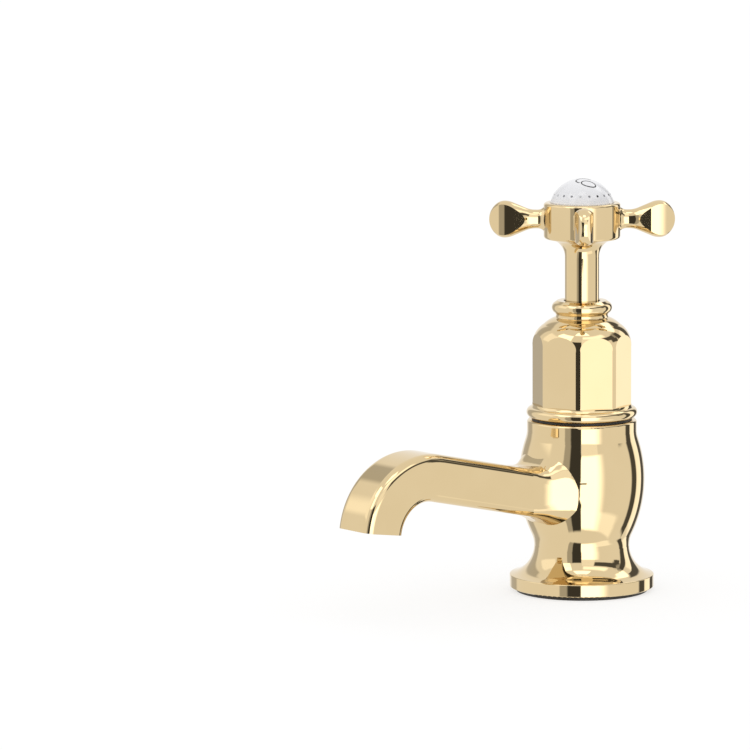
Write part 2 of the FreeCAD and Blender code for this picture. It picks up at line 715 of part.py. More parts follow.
def make_tap_body(doc, d):
    """Hollow cast body with flange, spout and threaded tail."""
    body = new_body(doc, "tap_body")
    outline, flange_top = body_outline(d)
    casting = revolve(body, "casting", outline)
    doc.recompute()
    edges = circle_edges(casting, d.flange_radius, flange_top)
    edges += circle_edges(casting, d.flange_radius, d.flange_underside)
    flange = round_edges(body, "flange_edges", casting, edges, d.flange_round)
    doc.recompute()
    rim_edge = circle_edges(flange, d.rim_radius, d.rim_top)
    round_edges(body, "rim_edge", flange, rim_edge, d.rim_round)
    sweep(body, "spout", spout_path(d, 0, 0),
          lambda section: draw_outline(section, spout_section(d)), d)
    add_flare(body, d)
    revolve(body, "cavity", cavity_outline(d), cut=True)
    sweep(body, "waterway", spout_path(d, d.waterway_start, d.waterway_overrun),
          lambda section: draw_circle(section, 0, 0, d.waterway_radius), d, cut=True)
    return body


# ---- foot seal and deck fixings ----------------------------------------------------------


def make_ring(doc, label, bore, radius, bottom, top):
    body = new_body(doc, label)
    revolve(body, f"{label}_ring", ring(bore, radius, bottom, top))
    return body


def make_base_seal(doc, d):
    return make_ring(doc, "base_seal", d.fixing_bore, d.seal_radius, 0, d.flange_underside)


def make_deck_gasket(doc, d):
    bottom = -d.deck_thickness - d.gasket_thickness
    return make_ring(doc, "deck_gasket", d.fixing_bore, d.gasket_radius, bottom, -d.deck_thickness)


def make_clamp_washer(doc, d):
    top = -d.deck_thickness - d.gasket_thickness
    bottom = top - d.clamp_thickness
    return make_ring(doc, "clamp_washer", d.fixing_bore, d.clamp_radius, bottom, top)


def make_back_nut(doc, d):
    """Flanged hexagon nut under the deck."""
    body = new_body(doc, "back_nut")
    top = -d.deck_thickness - d.gasket_thickness - d.clamp_thickness
    bottom = top - d.nut_flange_height
    revolve(body, "nut_flange", ring(d.nut_bore, d.nut_flange_radius, bottom, top))
    outlines = [polygon(d.nut_flats / 2, 6), d.nut_bore]
    extrude(body, "nut_hexagon", outlines, bottom - d.nut_height, d.nut_height)
    return body


# ---- headgear ----------------------------------------------------------------------------


def make_headgear_housing(doc, d):
    """Brass housing of the valve, with keys for the fixed disc, stops and water windows."""
    body = new_body(doc, "headgear_housing")
    revolve(body, "housing", [
        (d.sleeve_bore, d.sleeve_bottom),
        (d.sleeve_radius, d.sleeve_bottom),
        (d.sleeve_radius, d.headgear_thread_bottom),
        (d.tail_radius, d.headgear_thread_bottom),
        (d.tail_radius, d.headgear_thread_top),
        (d.headgear_undercut, d.headgear_thread_top),
        (d.headgear_undercut, d.hexagon_bottom),
        (d.neck_radius, d.hexagon_bottom),
        (d.neck_radius, d.neck_top),
        (d.bonnet_thread_radius, d.neck_top),
        (d.bonnet_thread_radius, d.headgear_top),
        (d.spindle_bore, d.headgear_top),
        (d.spindle_bore, d.sleeve_bore_top),
        (d.sleeve_bore, d.sleeve_bore_top),
    ])
    outlines = [polygon(d.hexagon_flats / 2, 6), d.neck_radius - 1]
    extrude(body, "hexagon", outlines, d.hexagon_bottom, d.hexagon_top - d.hexagon_bottom)
    half = d.disc_key_width / 2
    wall = (d.sleeve_bore + d.sleeve_radius) / 2
    keys = [box(-half, half, d.disc_key_reach, wall), box(-half, half, -wall, -d.disc_key_reach)]
    extrude(body, "disc_keys", keys, d.disc_key_bottom, d.disc_key_height)
    stop = sector(d.stop_reach, wall, d.stop_direction, d.stop_spread)
    other_stop = sector(d.stop_reach, wall, d.stop_direction + 180, d.stop_spread)
    extrude(body, "stops", [stop, other_stop], d.stop_bottom, d.stop_height)
    half = d.window_width / 2
    inner = root(d.sleeve_bore * d.sleeve_bore - half * half) - 0.2
    outer = d.sleeve_radius + 1
    windows = [box(inner, outer, -half, half), box(-outer, -inner, -half, half)]
    extrude(body, "windows", windows, d.window_bottom, d.window_height, cut=True)
    return body


def make_headgear_seal(doc, d):
    return make_ring(doc, "headgear_seal", d.fibre_bore, d.fibre_radius, d.recess_floor,
                     d.hexagon_bottom)


def make_disc_seal(doc, d):
    return make_ring(doc, "disc_seal", d.disc_seal_bore, d.disc_seal_radius, d.seat_height,
                     d.fixed_disc_bottom)


def make_thrust_washer(doc, d):
    return make_ring(doc, "thrust_washer", d.thrust_bore, d.collar_radius, d.thrust_bottom,
                     d.thrust_top)


# ---- ceramic discs -----------------------------------------------------------------------


def make_disc(doc, label, d, bottom, port_direction, port_spread):
    """Plain ceramic disc with two ports."""
    body = new_body(doc, label)
    extrude(body, f"{label}_blank", [d.disc_radius], bottom, d.disc_thickness)
    ports = [
        sector(d.port_inner, d.port_outer, size(port_direction), port_spread),
        sector(d.port_inner, d.port_outer, size(port_direction + 180), port_spread),
    ]
    extrude(body, f"{label}_ports", ports, bottom, d.disc_thickness, cut=True)
    return body


def make_fixed_disc(doc, d):
    body = make_disc(doc, "fixed_disc", d, d.fixed_disc_bottom, 0, d.fixed_port_spread)
    half = d.key_notch_width / 2
    past_edge = d.disc_radius + 1
    notches = [
        box(-half, half, d.key_notch_reach, past_edge),
        box(-half, half, -past_edge, -d.key_notch_reach),
    ]
    extrude(body, "key_notches", notches, d.fixed_disc_bottom, d.disc_thickness, cut=True)
    return body


def moving_disc_bottom(d):
    return d.fixed_disc_bottom + d.disc_thickness + d.disc_gap


def carrier_bottom(d):
    return moving_disc_bottom(d) + d.disc_thickness + d.disc_gap


def make_moving_disc(doc, d):
    bottom = moving_disc_bottom(d)
    body = make_disc(doc, "moving_disc", d, bottom, 90, d.moving_port_spread)
    half = d.dog_width / 2 + d.dog_play
    inner = d.dog_inner - d.dog_play
    outer = d.dog_outer + d.dog_play
    depth = d.dog_depth + d.dog_play
    notches = [box(inner, outer, -half, half), box(-outer, -inner, -half, half)]
    extrude(body, "dog_notches", notches, bottom + d.disc_thickness - depth, depth, cut=True)
    return body


# ---- spindle -----------------------------------------------------------------------------


def spline_groove(d, clearance):
    """Outline of one V between two splines, made smaller all round by a clearance."""
    slant = d.spline_half_width / d.spline_depth
    tip = d.spline_radius - d.spline_depth + clearance
    mouth = d.spline_radius + d.spline_depth
    half = (mouth - tip) * slant
    return [(tip, 0), (mouth, -half), (mouth, half)]


def make_spindle(doc, d):
    """Spindle with the carrier that turns the moving disc and the splines for the handle."""
    body = new_body(doc, "spindle")
    bottom = carrier_bottom(d)
    half_groove = d.groove_width / 2
    upper_groove = d.groove_low + d.groove_spacing
    clip_low = d.clip_bottom - d.clip_play
    clip_high = d.clip_bottom + d.clip_thickness + d.clip_play
    revolve(body, "shaft", [
        (0, bottom),
        (d.spindle_radius, bottom),
        (d.spindle_radius, d.collar_bottom),
        (d.collar_radius, d.collar_bottom),
        (d.collar_radius, d.collar_top),
        (d.spindle_radius, d.collar_top),
        (d.spindle_radius, d.groove_low - half_groove),
        (d.groove_radius, d.groove_low - half_groove),
        (d.groove_radius, d.groove_low + half_groove),
        (d.spindle_radius, d.groove_low + half_groove),
        (d.spindle_radius, upper_groove - half_groove),
        (d.groove_radius, upper_groove - half_groove),
        (d.groove_radius, upper_groove + half_groove),
        (d.spindle_radius, upper_groove + half_groove),
        (d.spindle_radius, clip_low),
        (d.clip_groove, clip_low),
        (d.clip_groove, clip_high),
        (d.spline_radius, clip_high),
        (d.spline_radius, d.spindle_top),
        (0, d.spindle_top),
    ])
    inner = d.spindle_radius - 1
    halves = [
        sector(inner, d.carrier_radius, size(0), d.carrier_spread),
        sector(inner, d.carrier_radius, size(180), d.carrier_spread),
    ]
    extrude(body, "carrier", halves, bottom, d.carrier_height)
    half = d.dog_width / 2
    dogs = [
        box(d.dog_inner, d.dog_outer, -half, half),
        box(-d.dog_outer, -d.dog_inner, -half, half),
    ]
    extrude(body, "dogs", dogs, bottom - d.dog_depth, d.dog_depth + d.carrier_height / 2)
    hole_bottom = d.spindle_top - d.screw_hole_depth
    extrude(body, "screw_hole", [d.screw_hole_radius], hole_bottom, d.screw_hole_depth, cut=True)
    groove = extrude(body, "spline_groove", [spline_groove(d, size(0))], d.spline_bottom,
                     d.spindle_top - d.spline_bottom, cut=True)
    repeat(body, "splines", [groove], d.spline_count)
    return body


def make_spindle_o_rings(doc, d):
    return torus_piece(doc, "spindle_o_rings", [
        (d.groove_low, d.ring_reach, d.ring_wire),
        (d.groove_low + d.groove_spacing, d.ring_reach, d.ring_wire),
    ])


def make_spindle_clip(doc, d):
    """Open spring clip that holds the spindle in the headgear."""
    body = new_body(doc, "spindle_clip")
    extrude(body, "clip_ring", [d.clip_radius, d.clip_bore], d.clip_bottom, d.clip_thickness)
    half = d.clip_gap / 2
    opening = box(0, d.clip_radius + 1, -half, half)
    extrude(body, "clip_opening", [opening], d.clip_bottom, d.clip_thickness, cut=True)
    return body


# ---- bonnet ------------------------------------------------------------------------------


def make_bonnet(doc, d):
    """Cover over the headgear: round bead, eight flats, round shoulder and collar."""
    body = new_body(doc, "bonnet")
    revolve(body, "shell", [
        (d.bonnet_bore, d.bonnet_bottom),
        (d.bead_start, d.bonnet_bottom, d.bead_radius, "left"),
        (d.bead_top_radius, d.bead_top_height, d.bead_cove, "right"),
        (d.bonnet_radius, d.bonnet_wall_bottom),
        (d.bonnet_radius, d.bonnet_wall_top, d.shoulder_arc, "left"),
        (d.shoulder_radius, d.shoulder_height, d.crown_arc, "left"),
        (d.throat_radius, d.throat_bottom, d.throat_arc, "right"),
        (d.collar_start, d.collar_start_height, d.collar_bead_radius, "left"),
        (d.collar_end, d.collar_end_height),
        (d.collar_face, d.bonnet_top),
        (d.lip_radius, d.bonnet_top),
        (d.lip_radius, d.bush_top),
        (d.bush_bore_radius, d.bush_top),
        (d.bush_bore_radius, d.bush_seat),
        (d.bonnet_socket_radius, d.bush_seat),
        (d.bonnet_socket_radius, d.ceiling_height),
        (d.bonnet_bore - d.ceiling_corner, d.ceiling_height),
        (d.bonnet_bore, d.ceiling_height - d.ceiling_corner),
    ])
    outlines = [d.flat_cutter, polygon(d.flat_distance, int(d.flat_count.value))]
    extrude(body, "flats", outlines, d.flat_bottom, d.bonnet_top - d.flat_bottom, cut=True)
    return body


def make_bonnet_seal(doc, d):
    return make_ring(doc, "bonnet_seal", d.bonnet_seal_bore, d.bonnet_seal_radius, d.rim_top,
                     d.bonnet_bottom)


def make_skirt_bush(doc, d):
    return make_ring(doc, "skirt_bush", d.bush_inside, d.bush_radius, d.bush_bottom, d.bush_top)


# ---- handle ------------------------------------------------------------------------------


def arm_outline(d):
    """Half of an arm's outline, from the handle's axis to the tip."""
    tip_centre = d.arm_tip - d.paddle_tip_arc
    beyond = d.paddle_tip_arc / (d.paddle_tip_arc - d.paddle_shoulder_arc)
    shoulder_x = tip_centre + (d.paddle_top_reach - tip_centre) * beyond
    shoulder_y = (d.paddle_radius - d.paddle_shoulder_arc) * beyond
    return [
        (0, 0),
        (0, d.arm_root_radius),
        (d.arm_root_end, d.arm_root_radius, d.arm_root_arc, "left"),
        (d.arm_neck_start, d.arm_neck_radius),
        (d.arm_swell_start, d.arm_neck_radius, d.arm_swell_arc, "left"),
        (d.arm_flank_start, d.arm_flank_radius),
        (d.arm_flank_end, d.arm_flank_end_radius, d.paddle_back_arc, "right"),
        (d.paddle_top_reach, d.paddle_radius, d.paddle_shoulder_arc, "right"),
        (shoulder_x, shoulder_y, d.paddle_tip_arc, "right"),
        (d.arm_tip, 0),
    ]


def slab_outline(d):
    """Plan of two opposite arms: flat faces that curve together towards the tips."""
    end = d.arm_tip + d.slab_margin
    half = d.arm_thickness / 2
    run = end - d.face_bend_start
    end_half = half - d.face_bend + root(d.face_bend * d.face_bend - run * run)
    return [
        (-d.face_bend_start, -half),
        (d.face_bend_start, -half, d.face_bend, "left"),
        (end, -end_half),
        (end, end_half, d.face_bend, "left"),
        (d.face_bend_start, half),
        (-d.face_bend_start, half, d.face_bend, "left"),
        (-end, end_half),
        (-end, -end_half, d.face_bend, "left"),
    ]


def make_arm_pair(doc, d, number, along_x):
    """Two opposite arms: a round bar squashed to an oval and cut by two gently curved faces."""
    bar = new_body(doc, f"arm_bar_{number}")
    sketch = new_sketch(bar, f"arm_outline_{number}", "XY_Plane", d.arm_height)
    if not along_x:
        sketch.AttachmentOffset.Rotation = FreeCAD.Rotation(FreeCAD.Vector(0, 0, 1), 90)
    draw_outline(sketch, arm_outline(d))
    arm = bar.newObject("PartDesign::Revolution", f"arm_{number}")
    arm.Profile = (sketch, [""])
    arm.ReferenceAxis = (sketch, ["H_Axis"])
    arm.Angle = 360.0
    repeat(bar, f"opposite_arm_{number}", [arm], size(2))
    oval = doc.addObject("Part::Scale", f"oval_bar_{number}")
    oval.Base = bar
    oval.Uniform = False
    oval.setExpression("YScale" if along_x else "XScale", d.arm_squash.text)
    slab = new_body(doc, f"slab_{number}")
    outline = slab_outline(d)
    if not along_x:
        outline = [(-point[1], point[0], *point[2:]) for point in outline]
    half_height = d.paddle_radius + d.slab_margin
    extrude(slab, f"slab_pad_{number}", [outline], d.arm_height - half_height, half_height * 2)
    pair = doc.addObject("Part::Common", f"arm_pair_{number}")
    pair.Base = oval
    pair.Tool = slab
    return pair


def make_handle_hub(doc, d):
    """Outside of the handle's stem and hub."""
    body = new_body(doc, "handle_hub")
    revolve(body, "stem_and_hub", [
        (0, d.skirt_bottom),
        (d.skirt_radius, d.skirt_bottom),
        (d.skirt_radius, d.flare_start, d.flare_arc, "right"),
        (d.hub_radius - d.hub_lower_round, d.hub_bottom, d.hub_lower_round, "left"),
        (d.hub_radius, d.hub_bottom + d.hub_lower_round),
        (d.hub_radius, d.hub_top - d.hub_upper_round, d.hub_upper_round, "left"),
        (d.hub_radius - d.hub_upper_round, d.hub_top),
        (0, d.hub_top),
    ])
    return body


def make_handle_hollow(doc, d):
    """Hollow of the handle, with the splines' shape left standing."""
    body = new_body(doc, "handle_hollow")
    bore = d.spline_radius + d.spline_play
    teeth_bottom = d.spline_bottom + d.web_gap
    web_bottom = d.spindle_top + d.web_gap
    revolve(body, "hollow", [
        (0, d.skirt_bottom - 1),
        (d.skirt_bore, d.skirt_bottom - 1),
        (d.skirt_bore, teeth_bottom),
        (bore, teeth_bottom),
        (bore, web_bottom),
        (d.web_hole, web_bottom),
        (d.web_hole, d.web_top),
        (d.screw_well, d.web_top),
        (d.screw_well, d.cup_floor),
        (d.cup_radius, d.cup_floor),
        (d.cup_radius, d.ledge_height),
        (d.ledge_radius, d.ledge_height),
        (d.ledge_radius, d.hub_top + 1),
        (0, d.hub_top + 1),
    ])
    groove = spline_groove(d, d.spline_play * 1.5)
    tooth = extrude(body, "tooth", [groove], teeth_bottom, web_bottom - teeth_bottom, cut=True)
    repeat(body, "teeth", [tooth], d.spline_count)
    return body


def make_handle(doc, d):
    """Cross handle: stem, hub and four arms in one piece."""
    solid = make_handle_hub(doc, d)
    for number, along_x in ((1, True), (2, False)):
        joined = doc.addObject("Part::Fuse", f"handle_with_arms_{number}")
        joined.Base = solid
        joined.Tool = make_arm_pair(doc, d, number, along_x)
        solid = joined
    handle = doc.addObject("Part::Cut", "handle")
    handle.Base = solid
    handle.Tool = make_handle_hollow(doc, d)
    handle.Label = "handle"
    return handle


# ---- handle's screw and index ------------------------------------------------------------


def make_handle_screw(doc, d):
    """Pan head screw with a cross recess."""
    body = new_body(doc, "handle_screw")
    head_bottom = d.screw_washer_top + d.seat_gap
    revolve(body, "screw", [
        (0, d.screw_bottom),
        (d.screw_shank, d.screw_bottom),
        (d.screw_shank, head_bottom),
        (d.screw_head_radius, head_bottom),
        (d.screw_head_radius, d.screw_head_top),
        (0, d.screw_head_top),
    ])
    floor = d.screw_head_top - d.screw_slot_depth
    half_width = d.screw_slot_width / 2
    half_length = d.screw_slot_length / 2
    slot = box(-half_length, half_length, -half_width, half_width)
    extrude(body, "slot", [slot], floor, d.screw_slot_depth, cut=True)
    cross_slot = box(-half_width, half_width, -half_length, half_length)
    extrude(body, "cross_slot", [cross_slot], floor, d.screw_slot_depth, cut=True)
    return body


def make_screw_washer(doc, d):
    return make_ring(doc, "screw_washer", d.web_hole, d.screw_washer_radius,
                     d.web_top + d.seat_gap, d.screw_washer_top)


def make_index_plug(doc, d):
    """Plug that carries the porcelain, with a ring groove and room for the screw's head."""
    body = new_body(doc, "index_plug")
    revolve(body, "plug", [
        (0, d.plug_ceiling),
        (d.plug_hollow, d.plug_ceiling),
        (d.plug_hollow, d.plug_bottom),
        (d.plug_radius, d.plug_bottom),
        (d.plug_radius, d.plug_groove_bottom),
        (d.plug_groove_radius, d.plug_groove_bottom),
        (d.plug_groove_radius, d.plug_groove_top),
        (d.plug_radius, d.plug_groove_top),
        (d.plug_radius, d.ledge_height),
        (0, d.ledge_height),
    ])
    return body


def make_index_o_ring(doc, d):
    rings = [(d.plug_ring_height, d.plug_ring_reach, d.plug_ring_wire)]
    return torus_piece(doc, "index_o_ring", rings)


def make_index_cap(doc, d):
    """Porcelain dome on top of the handle."""
    body = new_body(doc, "index_cap")
    bottom = d.ledge_height + d.seat_gap
    rise = d.index_top - d.index_edge_height
    sphere_radius = (d.index_radius * d.index_radius + rise * rise) / (rise * 2)
    revolve(body, "dome", [
        (0, bottom),
        (d.index_radius, bottom),
        (d.index_radius, d.index_edge_height, sphere_radius, "left"),
        (0, d.index_top),
    ])
    return body


# ---- the tap -----------------------------------------------------------------------------


def build(doc):
    """Build every piece and return the pieces in the order of assembly."""
    d = make_sheet(doc)
    pieces = [
        make_tap_body(doc, d),
        make_base_seal(doc, d),
        make_deck_gasket(doc, d),
        make_clamp_washer(doc, d),
        make_back_nut(doc, d),
        make_disc_seal(doc, d),
        make_fixed_disc(doc, d),
        make_moving_disc(doc, d),
        make_headgear_seal(doc, d),
        make_headgear_housing(doc, d),
        make_thrust_washer(doc, d),
        make_spindle(doc, d),
        make_spindle_o_rings(doc, d),
        make_spindle_clip(doc, d),
        make_bonnet_seal(doc, d),
        make_bonnet(doc, d),
        make_skirt_bush(doc, d),
        make_handle(doc, d),
        make_screw_washer(doc, d),
        make_handle_screw(doc, d),
        make_index_plug(doc, d),
        make_index_o_ring(doc, d),
        make_index_cap(doc, d),
    ]
    for piece in pieces:
        if piece.Label in TURNED_TO_REST:
            piece.setExpression("Placement.Rotation.Angle", d.rest_turn.text)
    doc.recompute()
    return pieces


def check(doc, pieces):
    """Stop if any feature failed or any piece has no valid shape."""
    for item in doc.Objects:
        if "Invalid" in item.State or "Error" in item.State:
            raise RuntimeError(f"{item.Label} did not build: {item.State}")
    for piece in pieces:
        if piece.Shape.isNull() or not piece.Shape.isValid():
            raise RuntimeError(f"{piece.Label} has no valid shape")


def export(pieces):
    os.makedirs("parts", exist_ok=True)
    for piece in pieces:
        piece.Shape.exportStep(f"parts/{piece.Label}.step")


document = FreeCAD.newDocument("pillar_tap")
tap_pieces = build(document)
check(document, tap_pieces)
export(tap_pieces)
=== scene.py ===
import math

import bpy
from mathutils import Matrix, Vector


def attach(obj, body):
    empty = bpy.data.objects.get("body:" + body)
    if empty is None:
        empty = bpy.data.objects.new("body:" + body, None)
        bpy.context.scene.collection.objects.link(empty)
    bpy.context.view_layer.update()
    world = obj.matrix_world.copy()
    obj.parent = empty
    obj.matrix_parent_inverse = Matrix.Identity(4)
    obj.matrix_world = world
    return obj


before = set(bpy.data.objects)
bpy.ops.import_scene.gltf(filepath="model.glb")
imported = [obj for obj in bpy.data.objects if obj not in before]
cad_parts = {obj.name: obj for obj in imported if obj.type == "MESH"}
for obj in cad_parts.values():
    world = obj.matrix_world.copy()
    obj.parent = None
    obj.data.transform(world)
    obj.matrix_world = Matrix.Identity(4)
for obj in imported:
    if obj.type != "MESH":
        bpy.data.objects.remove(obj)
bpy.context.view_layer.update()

# The camera: picture width and focal length in pixels, its place in metres and its turns in
# degrees. It stands on the tap's front right, at the azimuth from the spout.
FRAME_PIXELS = 750
FOCAL_PIXELS = 5559.3
CAMERA_AZIMUTH = 49.4
CAMERA_DISTANCE = 1.9029
CAMERA_HEIGHT = 0.3416
CAMERA_YAW = -2.152
CAMERA_PITCH = -7.970
CAMERA_ROLL = -0.238
SENSOR_WIDTH = 36.0
CLIP_NEAR = 0.05
CLIP_FAR = 100.0

# Panels of the studio, seen from the tap: directions in degrees from the camera's direction
# (positive to the image's right), heights in degrees over the horizon, light level, width of
# the soft edges (left, right, low, high) in degrees, and distance in metres.
STUDIO_PANELS = [
    # name, (left, right), (low, high), level, soft edges, distance
    ("flag_front_left_edge", (-37, -18), (-52, 34), 0.50, (3, 3, 4, 4), 6.3),
    ("flag_front_left", (-25, -1.2), (-52, 33), 0.055, (4, 0.8, 4, 4), 6.0),
    ("flag_handle", (-3, 9.5), (-6.6, -5.1), 0.055, (0.8, 0.8, 0.3, 0.3), 5.8),
    ("softbox_front", (-1.2, 46.5), (-50, 20), 2.45, (0.8, 22, 4, 3), 6.0),
    ("softbox_front_low", (30, 85), (-50, -29), 1.38, (10, 12, 3, 4), 6.2),
    ("ceiling_front", (-1, 34), (18, 44), 1.22, (1, 3, 2, 3), 6.2),
    ("flag_ceiling_right", (31, 99), (26, 43), 0.10, (4, 5, 3, 3), 6.1),
    ("flag_ceiling_far_right", (92, 120), (22, 46), 0.42, (6, 4, 5, 5), 6.2),
    ("flag_spout", (78, 103), (15, 30), 0.10, (5, 4, 4, 2), 6.15),
    ("flag_right", (102, 120.5), (-38, 42), 0.09, (5, 1.5, 4, 5), 6.0),
    ("softbox_right", (120.5, 140), (-32, 32), 1.45, (3, 2, 6, 6), 6.0),
    ("flag_back_right", (139.5, 160), (-34, 40), 0.11, (1.5, 5, 5, 4), 6.0),
    ("backdrop_left", (-158, -124), (-34, 46), 0.58, (8, 8, 6, 6), 6.3),
    ("softbox_left", (-114, -62), (13, 47), 1.32, (8, 8, 6, 6), 6.3),
    ("softbox_top_left", (-82, -28), (44, 62), 2.30, (6, 4, 3, 5), 6.1),
    ("softbox_top_front_left", (-60, -28), (30, 47), 2.10, (6, 3, 3, 3), 6.1),
    ("softbox_top_front", (-30, 34), (61, 80), 2.30, (5, 5, 4, 5), 6.0),
    ("softbox_top_front_right", (0, 80), (43, 60), 1.75, (5, 12, 4, 6), 6.1),
    ("softbox_top_right", (116, 152), (38, 57), 2.10, (4, 4, 4, 5), 6.1),
]
RIG_HEIGHT = 0.07
PANEL_CELL = 3
PANEL_UV = "panel"

FLOOR_REACH = 6.0
FLOOR_GREY = (0.34, 0.34, 0.34)
FLOOR_OWN_LIGHT = 0.68

WHITE = (1.0, 1.0, 1.0)
UP = Vector((0.0, 0.0, 1.0))


def direction(azimuth, elevation):
    """Unit vector from the tap: azimuth from the camera's side, positive to the right."""
    a = math.radians(CAMERA_AZIMUTH)
    towards_camera = Vector((math.sin(a), -math.cos(a), 0.0))
    right = Vector((math.cos(a), math.sin(a), 0.0))
    turn = math.radians(azimuth)
    rise = math.radians(elevation)
    level = towards_camera * math.cos(turn) + right * math.sin(turn)
    return level * math.cos(rise) + UP * math.sin(rise)


def place_in_scene(name, data):
    """A new object in the scene with the given data."""
    placed = bpy.data.objects.new(name, data)
    bpy.context.scene.collection.objects.link(placed)
    return placed


def make_camera():
    """The camera, aimed by its yaw, pitch and roll from the line to the tap's axis."""
    towards_camera = direction(0, 0)
    right = direction(90, 0)
    yaw, pitch, roll = (math.radians(v) for v in (CAMERA_YAW, CAMERA_PITCH, CAMERA_ROLL))
    heading = -towards_camera * math.cos(yaw) + right * math.sin(yaw)
    side = heading.cross(UP)
    forward = heading * math.cos(pitch) + UP * math.sin(pitch)
    top = side.cross(forward)
    image_right = side * math.cos(roll) + top * math.sin(roll)
    image_up = top * math.cos(roll) - side * math.sin(roll)
    data = bpy.data.cameras.new("camera")
    data.sensor_width = SENSOR_WIDTH
    data.lens = FOCAL_PIXELS * SENSOR_WIDTH / FRAME_PIXELS
    data.clip_start = CLIP_NEAR
    data.clip_end = CLIP_FAR
    camera = place_in_scene("camera", data)
    turn = Matrix((image_right, image_up, -forward)).transposed()
    place = towards_camera * CAMERA_DISTANCE + UP * CAMERA_HEIGHT
    camera.matrix_world = Matrix.Translation(place) @ turn.to_4x4()
    bpy.context.scene.camera = camera


# ---- node helpers --------------------------------------------------------------------------


class Graph:
    """A material's or world's nodes, with short calls to add and join them."""

    def __init__(self, owner):
        owner.use_nodes = True
        self.nodes = owner.node_tree.nodes
        self.links = owner.node_tree.links
        self.nodes.clear()

    def add(self, kind, settings=(), **sockets):
        """A node with its settings, and its input sockets by name."""
        node = self.nodes.new(kind)
        for name, value in dict(settings).items():
            setattr(node, name, value)
        for name, value in sockets.items():
            self.set(node.inputs[name.replace("_", " ")], value)
        return node

    def set(self, socket, value):
        """Joins an output to a socket, or gives the socket a fixed value."""
        if isinstance(value, bpy.types.NodeSocket):
            self.links.new(value, socket)
        else:
            socket.default_value = value

    def fill(self, node, values):
        """Sets the node's first sockets, in their order."""
        for socket, value in zip(node.inputs, values):
            self.set(socket, value)

    def product(self, first, second):
        node = self.add("ShaderNodeMath", {"operation": "MULTIPLY"})
        self.fill(node, (first, second))
        return node.outputs[0]

    def ramp(self, value, low, high, to_low=0.0, to_high=1.0):
        """Smooth change from one value to another."""
        node = self.add("ShaderNodeMapRange", {"interpolation_type": "SMOOTHSTEP"})
        self.fill(node, (value, low, high, to_low, to_high))
        return node.outputs[0]

    def noise(self, where, scale, detail):
        node = self.add("ShaderNodeTexNoise", Vector=where, Scale=scale, Detail=detail)
        return node.outputs["Fac"]

    def mix_colour(self, factor, first, second):
        node = self.add("ShaderNodeMix", {"data_type": "RGBA"})
        factor_socket, first_socket, second_socket = (node.inputs[i] for i in (0, 6, 7))
        self.set(factor_socket, factor)
        self.set(first_socket, rgba(first))
        self.set(second_socket, rgba(second))
        return node.outputs[2]

    def finish(self, shader, kind="ShaderNodeOutputMaterial"):
        """Makes the shader the surface of the material or the world."""
        self.add(kind, Surface=shader.outputs[0])


def rgba(colour):
    return (*colour, 1.0)


def new_material(name):
    """A material and its empty graph."""
    mat = bpy.data.materials.new(name)
    return mat, Graph(mat)


# ---- studio --------------------------------------------------------------------------------


def make_view():
    """Colours shown as they are."""
    bpy.context.scene.view_settings.view_transform = "Standard"


def make_world():
    """Plain white surroundings at strength 1, seen by every ray."""
    world = bpy.data.worlds.new("studio")
    bpy.context.scene.world = world
    graph = Graph(world)
    white = graph.add("ShaderNodeBackground", Color=rgba(WHITE), Strength=1.0)
    graph.finish(white, "ShaderNodeOutputWorld")


def panel_material(name, level, soft_parts):
    """Even light with soft edges, clear beyond them."""
    mat, graph = new_material(name)
    place = graph.add("ShaderNodeUVMap", {"uv_map": PANEL_UV})
    split = graph.add("ShaderNodeSeparateXYZ", Vector=place.outputs[0])
    across, along = split.outputs[0], split.outputs[1]
    left, right, low, high = soft_parts
    cover = graph.ramp(across, 0.0, left)
    cover = graph.product(cover, graph.ramp(across, 1.0, 1.0 - right))
    cover = graph.product(cover, graph.ramp(along, 0.0, low))
    cover = graph.product(cover, graph.ramp(along, 1.0, 1.0 - high))
    light = graph.add("ShaderNodeEmission", Color=rgba(WHITE), Strength=level)
    clear = graph.add("ShaderNodeBsdfTransparent")
    mixed = graph.add("ShaderNodeMixShader")
    graph.fill(mixed, (cover, clear.outputs[0], light.outputs[0]))
    graph.finish(mixed)
    return mat


def make_panel(name, across, heights, level, soft, distance):
    """A curved panel round the tap that only polished surfaces see."""
    width = across[1] - across[0]
    height = heights[1] - heights[0]
    columns = max(2, int(width / PANEL_CELL))
    rows = max(2, int(height / PANEL_CELL))
    verts = []
    for j in range(rows + 1):
        for i in range(columns + 1):
            azimuth = across[0] + width * i / columns
            elevation = heights[0] + height * j / rows
            verts.append(direction(azimuth, elevation) * distance + UP * RIG_HEIGHT)
    faces = []
    for j in range(rows):
        for i in range(columns):
            first = j * (columns + 1) + i
            faces.append((first, first + 1, first + columns + 2, first + columns + 1))
    mesh = bpy.data.meshes.new(name)
    mesh.from_pydata(verts, [], faces)
    layer = mesh.uv_layers.new(name=PANEL_UV)
    for loop in mesh.loops:
        row, column = divmod(loop.vertex_index, columns + 1)
        layer.data[loop.index].uv = (column / columns, row / rows)
    parts = (soft[0] / width, soft[1] / width, soft[2] / height, soft[3] / height)
    mesh.materials.append(panel_material(name, level, parts))
    panel = place_in_scene(name, mesh)
    panel.visible_camera = False
    panel.visible_diffuse = False
    panel.visible_transmission = False
    panel.visible_volume_scatter = False
    panel.visible_shadow = False


